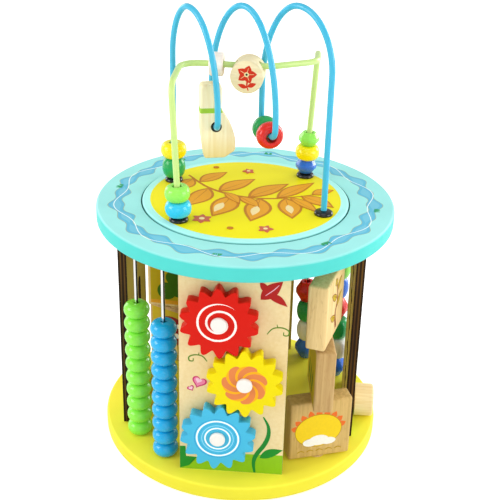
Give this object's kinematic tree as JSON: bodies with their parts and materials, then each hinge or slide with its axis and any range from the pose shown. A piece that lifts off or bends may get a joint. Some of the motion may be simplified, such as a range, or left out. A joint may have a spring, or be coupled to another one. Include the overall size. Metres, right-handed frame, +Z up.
{
  "type": "activity cube",
  "caption": "Round wooden activity centre: four toy panels and four corner bays between a disc base and a ring top, with a bead maze on a lift-out lid.",
  "frame": {"origin": "middle of the base's underside", "axes": "+Z up through the lid; -Y is the front, where the gear panel is; +X is the side with the ladder track"},
  "size_m": [0.27, 0.27, 0.4177],
  "materials": {
    "animal_block": "natural wood with a print, satin",
    "back_block_1": "natural wood with a print, satin",
    "back_block_2": "natural wood with a print, satin",
    "back_block_3": "natural wood with a print, satin",
    "back_panel": "printed plywood, satin",
    "back_spinner_rod": "polished",
    "base_disc": "gloss paint",
    "blue_abacus_rod": "polished",
    "blue_bead_10": "gloss paint",
    "blue_bead_9": "gloss paint",
    "blue_bead_stack": "gloss paint",
    "blue_foot_bead_1": "gloss paint",
    "blue_foot_bead_2": "gloss paint",
    "blue_gear": "gloss paint",
    "blue_gear_peg": "gloss paint",
    "blue_maze_wire": "gloss coating",
    "clock_hour_hand": "gloss paint",
    "clock_minute_hand": "gloss paint",
    "clock_pin": "polished",
    "front_block_1": "natural wood with a print, satin",
    "front_block_2": "natural wood with a print, satin",
    "front_block_3": "natural wood with a print, satin",
    "front_panel": "printed plywood, satin",
    "front_spinner_rod": "polished",
    "green_abacus_rod": "polished",
    "green_bead_10": "gloss paint",
    "green_bead_9": "gloss paint",
    "green_bead_stack": "gloss paint",
    "green_loop_bead": "gloss paint",
    "left_panel": "printed plywood, satin",
    "left_string_bead_1": "gloss paint",
    "left_string_bead_2": "gloss paint",
    "left_string_bead_3": "gloss paint",
    "left_string_bead_4": "gloss paint",
    "left_string_wire": "polished",
    "left_track_slider": "gloss paint",
    "lime_back_bead_1": "gloss paint",
    "lime_back_bead_2": "gloss paint",
    "lime_back_bead_3": "gloss paint",
    "lime_front_bead_1": "gloss paint",
    "lime_front_bead_2": "gloss paint",
    "lime_maze_wire": "gloss coating",
    "maze_lid": "gloss paint",
    "picture_disc": "gloss paint",
    "plain_disc": "gloss paint",
    "red_gear": "gloss paint",
    "red_gear_peg": "gloss paint",
    "red_loop_bead": "gloss paint",
    "right_panel": "printed plywood, satin",
    "right_string_bead_1": "gloss paint",
    "right_string_bead_2": "gloss paint",
    "right_string_bead_3": "gloss paint",
    "right_string_bead_4": "gloss paint",
    "right_string_bead_5": "gloss paint",
    "right_string_bead_6": "gloss paint",
    "right_string_wire": "polished",
    "right_track_knob": "natural wood, satin",
    "top_ring": "gloss paint",
    "yellow_gear": "gloss paint",
    "yellow_gear_peg": "gloss paint"
  },
  "bodies": {
    "frame": {"base_disc": "base_disc", "top_ring": "top_ring", "front_panel": "front_panel", "left_panel": "left_panel", "right_panel": "right_panel", "back_panel": "back_panel", "red_gear_peg": "red_gear_peg", "yellow_gear_peg": "yellow_gear_peg", "blue_gear_peg": "blue_gear_peg", "green_abacus_rod": "green_abacus_rod", "blue_abacus_rod": "blue_abacus_rod", "front_spinner_rod": "front_spinner_rod", "back_spinner_rod": "back_spinner_rod", "right_string_wire": "right_string_wire", "left_string_wire": "left_string_wire", "clock_pin": "clock_pin"},
    "lid": {"maze_lid": "maze_lid", "blue_maze_wire": "blue_maze_wire", "lime_maze_wire": "lime_maze_wire"},
    "red_gear": {"red_gear": "red_gear"},
    "yellow_gear": {"yellow_gear": "yellow_gear"},
    "blue_gear": {"blue_gear": "blue_gear"},
    "green_bead_stack": {"green_bead_stack": "green_bead_stack"},
    "green_bead_9": {"green_bead_9": "green_bead_9"},
    "green_bead_10": {"green_bead_10": "green_bead_10"},
    "blue_bead_stack": {"blue_bead_stack": "blue_bead_stack"},
    "blue_bead_9": {"blue_bead_9": "blue_bead_9"},
    "blue_bead_10": {"blue_bead_10": "blue_bead_10"},
    "front_block_1": {"front_block_1": "front_block_1"},
    "front_block_2": {"front_block_2": "front_block_2"},
    "front_block_3": {"front_block_3": "front_block_3"},
    "back_block_1": {"back_block_1": "back_block_1"},
    "back_block_2": {"back_block_2": "back_block_2"},
    "back_block_3": {"back_block_3": "back_block_3"},
    "right_string_bead_1": {"right_string_bead_1": "right_string_bead_1"},
    "right_string_bead_2": {"right_string_bead_2": "right_string_bead_2"},
    "right_string_bead_3": {"right_string_bead_3": "right_string_bead_3"},
    "right_string_bead_4": {"right_string_bead_4": "right_string_bead_4"},
    "right_string_bead_5": {"right_string_bead_5": "right_string_bead_5"},
    "right_string_bead_6": {"right_string_bead_6": "right_string_bead_6"},
    "left_string_bead_1": {"left_string_bead_1": "left_string_bead_1"},
    "left_string_bead_2": {"left_string_bead_2": "left_string_bead_2"},
    "left_string_bead_3": {"left_string_bead_3": "left_string_bead_3"},
    "left_string_bead_4": {"left_string_bead_4": "left_string_bead_4"},
    "blue_foot_bead_1": {"blue_foot_bead_1": "blue_foot_bead_1"},
    "blue_foot_bead_2": {"blue_foot_bead_2": "blue_foot_bead_2"},
    "lime_front_bead_1": {"lime_front_bead_1": "lime_front_bead_1"},
    "lime_front_bead_2": {"lime_front_bead_2": "lime_front_bead_2"},
    "lime_back_bead_1": {"lime_back_bead_1": "lime_back_bead_1"},
    "lime_back_bead_2": {"lime_back_bead_2": "lime_back_bead_2"},
    "lime_back_bead_3": {"lime_back_bead_3": "lime_back_bead_3"},
    "red_loop_bead": {"red_loop_bead": "red_loop_bead"},
    "green_loop_bead": {"green_loop_bead": "green_loop_bead"},
    "plain_disc": {"plain_disc": "plain_disc"},
    "picture_disc": {"picture_disc": "picture_disc"},
    "animal_block": {"animal_block": "animal_block"},
    "right_track_knob": {"right_track_knob": "right_track_knob"},
    "left_track_slider": {"left_track_slider": "left_track_slider"},
    "clock_hour_hand": {"clock_hour_hand": "clock_hour_hand"},
    "clock_minute_hand": {"clock_minute_hand": "clock_minute_hand"}
  },
  "joints": [
    {"name": "lid_lift", "type": "slide", "parent": "frame", "child": "lid", "axis": [0, 0, 1], "range_m": [0, 0.04]},
    {"name": "red_gear_spin", "type": "hinge", "parent": "frame", "child": "red_gear", "pos_m": [-0.0113, -0.1135, 0.17738], "axis": [0, -1, 0], "continuous": true},
    {"name": "yellow_gear_spin", "type": "hinge", "parent": "frame", "child": "yellow_gear", "pos_m": [0.0113, -0.1135, 0.119], "axis": [0, -1, 0], "continuous": true},
    {"name": "blue_gear_spin", "type": "hinge", "parent": "frame", "child": "blue_gear", "pos_m": [-0.0113, -0.1135, 0.06062], "axis": [0, -1, 0], "continuous": true},
    {"name": "picture_disc_swing", "type": "hinge", "parent": "lid", "child": "picture_disc", "pos_m": [-0.0006, 0.00297, 0.361], "axis": [0.9991, -0.0435, 0], "range_deg": [-90, 5]},
    {"name": "animal_block_tip", "type": "hinge", "parent": "lid", "child": "animal_block", "pos_m": [-0.028, -0.00343, 0.309], "axis": [-0.2313, 0.9729, 0], "range_deg": [-80, 15]},
    {"name": "right_knob_slide", "type": "slide", "parent": "frame", "child": "right_track_knob", "axis": [0, 0, 1], "range_m": [0, 0.145]},
    {"name": "left_slider_slide", "type": "slide", "parent": "frame", "child": "left_track_slider", "axis": [0, 0, 1], "range_m": [0, 0.0665]},
    {"name": "green_stack_slide", "type": "slide", "parent": "frame", "child": "green_bead_stack", "axis": [0, 0, 1], "range_m": [0, 0.0215]},
    {"name": "green_bead_9_slide", "type": "slide", "parent": "green_bead_stack", "child": "green_bead_9", "axis": [0, 0, 1], "range_m": [0, 0.0215]},
    {"name": "green_bead_10_slide", "type": "slide", "parent": "green_bead_9", "child": "green_bead_10", "axis": [0, 0, 1], "range_m": [0, 0.0215]},
    {"name": "blue_stack_slide", "type": "slide", "parent": "frame", "child": "blue_bead_stack", "axis": [0, 0, 1], "range_m": [0, 0.0215]},
    {"name": "blue_bead_9_slide", "type": "slide", "parent": "blue_bead_stack", "child": "blue_bead_9", "axis": [0, 0, 1], "range_m": [0, 0.0215]},
    {"name": "blue_bead_10_slide", "type": "slide", "parent": "blue_bead_9", "child": "blue_bead_10", "axis": [0, 0, 1], "range_m": [0, 0.0215]},
    {"name": "front_block_1_spin", "type": "hinge", "parent": "frame", "child": "front_block_1", "pos_m": [0.07678, -0.07467, 0.04792], "axis": [0, 0, 1], "continuous": true},
    {"name": "front_block_2_spin", "type": "hinge", "parent": "frame", "child": "front_block_2", "pos_m": [0.07678, -0.07467, 0.11175], "axis": [0, 0, 1], "continuous": true},
    {"name": "front_block_3_spin", "type": "hinge", "parent": "frame", "child": "front_block_3", "pos_m": [0.07678, -0.07467, 0.17558], "axis": [0, 0, 1], "continuous": true},
    {"name": "back_block_1_spin", "type": "hinge", "parent": "frame", "child": "back_block_1", "pos_m": [-0.0746, 0.0746, 0.04792], "axis": [0, 0, 1], "continuous": true},
    {"name": "back_block_2_spin", "type": "hinge", "parent": "frame", "child": "back_block_2", "pos_m": [-0.0746, 0.0746, 0.11175], "axis": [0, 0, 1], "continuous": true},
    {"name": "back_block_3_spin", "type": "hinge", "parent": "frame", "child": "back_block_3", "pos_m": [-0.0746, 0.0746, 0.17558], "axis": [0, 0, 1], "continuous": true},
    {"name": "clock_hour_hand_turn", "type": "hinge", "parent": "frame", "child": "clock_hour_hand", "pos_m": [0, 0.1108, 0.133], "axis": [0, 1, 0], "continuous": true},
    {"name": "clock_minute_hand_turn", "type": "hinge", "parent": "frame", "child": "clock_minute_hand", "pos_m": [0, 0.1141, 0.133], "axis": [0, 1, 0], "continuous": true},
    {"name": "blue_foot_bead_1_slide", "type": "slide", "parent": "lid", "child": "blue_foot_bead_1", "axis": [0, 0, 1], "range_m": [0, 0.038]},
    {"name": "blue_foot_bead_2_slide", "type": "slide", "parent": "blue_foot_bead_1", "child": "blue_foot_bead_2", "axis": [0, 0, 1], "range_m": [0, 0.038]},
    {"name": "lime_front_bead_1_slide", "type": "slide", "parent": "lid", "child": "lime_front_bead_1", "axis": [-0.0436, -0.0162, 0.9989], "range_m": [0, 0.034]},
    {"name": "lime_front_bead_2_slide", "type": "slide", "parent": "lime_front_bead_1", "child": "lime_front_bead_2", "axis": [-0.0436, -0.0162, 0.9989], "range_m": [0, 0.034]},
    {"name": "lime_back_bead_1_slide", "type": "slide", "parent": "lid", "child": "lime_back_bead_1", "axis": [0.0496, 0.0026, 0.9988], "range_m": [0, 0.021]},
    {"name": "lime_back_bead_2_slide", "type": "slide", "parent": "lime_back_bead_1", "child": "lime_back_bead_2", "axis": [0.0496, 0.0026, 0.9988], "range_m": [0, 0.021]},
    {"name": "lime_back_bead_3_slide", "type": "slide", "parent": "lime_back_bead_2", "child": "lime_back_bead_3", "axis": [0.0496, 0.0026, 0.9988], "range_m": [0, 0.021]},
    {"name": "plain_disc_spin", "type": "hinge", "parent": "lid", "child": "plain_disc", "pos_m": [-0.028, 0.00416, 0.361], "axis": [0.9991, -0.0435, 0], "continuous": true},
    {"name": "red_loop_bead_spin", "type": "hinge", "parent": "lid", "child": "red_loop_bead", "pos_m": [0.02022, -0.00693, 0.30252], "axis": [-0.3264, 0.9436, 0.0555], "continuous": true},
    {"name": "green_loop_bead_spin", "type": "hinge", "parent": "lid", "child": "green_loop_bead", "pos_m": [0.01491, 0.0084, 0.30342], "axis": [-0.3264, 0.9436, 0.0555], "continuous": true},
    {"name": "right_string_bead_1_spin", "type": "hinge", "parent": "frame", "child": "right_string_bead_1", "pos_m": [0.09435, 0.06092, 0.02655], "axis": [0, 0, 1], "continuous": true},
    {"name": "right_string_bead_2_spin", "type": "hinge", "parent": "frame", "child": "right_string_bead_2", "pos_m": [0.09541, 0.05986, 0.04935], "axis": [0, 0, 1], "continuous": true},
    {"name": "right_string_bead_3_spin", "type": "hinge", "parent": "frame", "child": "right_string_bead_3", "pos_m": [0.0944, 0.06087, 0.07215], "axis": [0, 0, 1], "continuous": true},
    {"name": "right_string_bead_4_spin", "type": "hinge", "parent": "frame", "child": "right_string_bead_4", "pos_m": [0.09231, 0.06296, 0.09495], "axis": [0, 0, 1], "continuous": true},
    {"name": "right_string_bead_5_spin", "type": "hinge", "parent": "frame", "child": "right_string_bead_5", "pos_m": [0.09117, 0.0641, 0.11775], "axis": [0, 0, 1], "continuous": true},
    {"name": "right_string_bead_6_spin", "type": "hinge", "parent": "frame", "child": "right_string_bead_6", "pos_m": [0.0921, 0.06317, 0.14055], "axis": [0, 0, 1], "continuous": true},
    {"name": "left_string_bead_1_spin", "type": "hinge", "parent": "frame", "child": "left_string_bead_1", "pos_m": [0.06304, 0.09223, 0.02655], "axis": [0, 0, 1], "continuous": true},
    {"name": "left_string_bead_2_spin", "type": "hinge", "parent": "frame", "child": "left_string_bead_2", "pos_m": [0.0641, 0.09117, 0.04935], "axis": [0, 0, 1], "continuous": true},
    {"name": "left_string_bead_3_spin", "type": "hinge", "parent": "frame", "child": "left_string_bead_3", "pos_m": [0.06309, 0.09218, 0.07215], "axis": [0, 0, 1], "continuous": true},
    {"name": "left_string_bead_4_spin", "type": "hinge", "parent": "frame", "child": "left_string_bead_4", "pos_m": [0.061, 0.09427, 0.09495], "axis": [0, 0, 1], "continuous": true}
  ],
  "couplings": [
    {"joint": "yellow_gear_spin", "follows": "red_gear_spin", "ratio": -1},
    {"joint": "blue_gear_spin", "follows": "red_gear_spin", "ratio": 1}
  ]
}
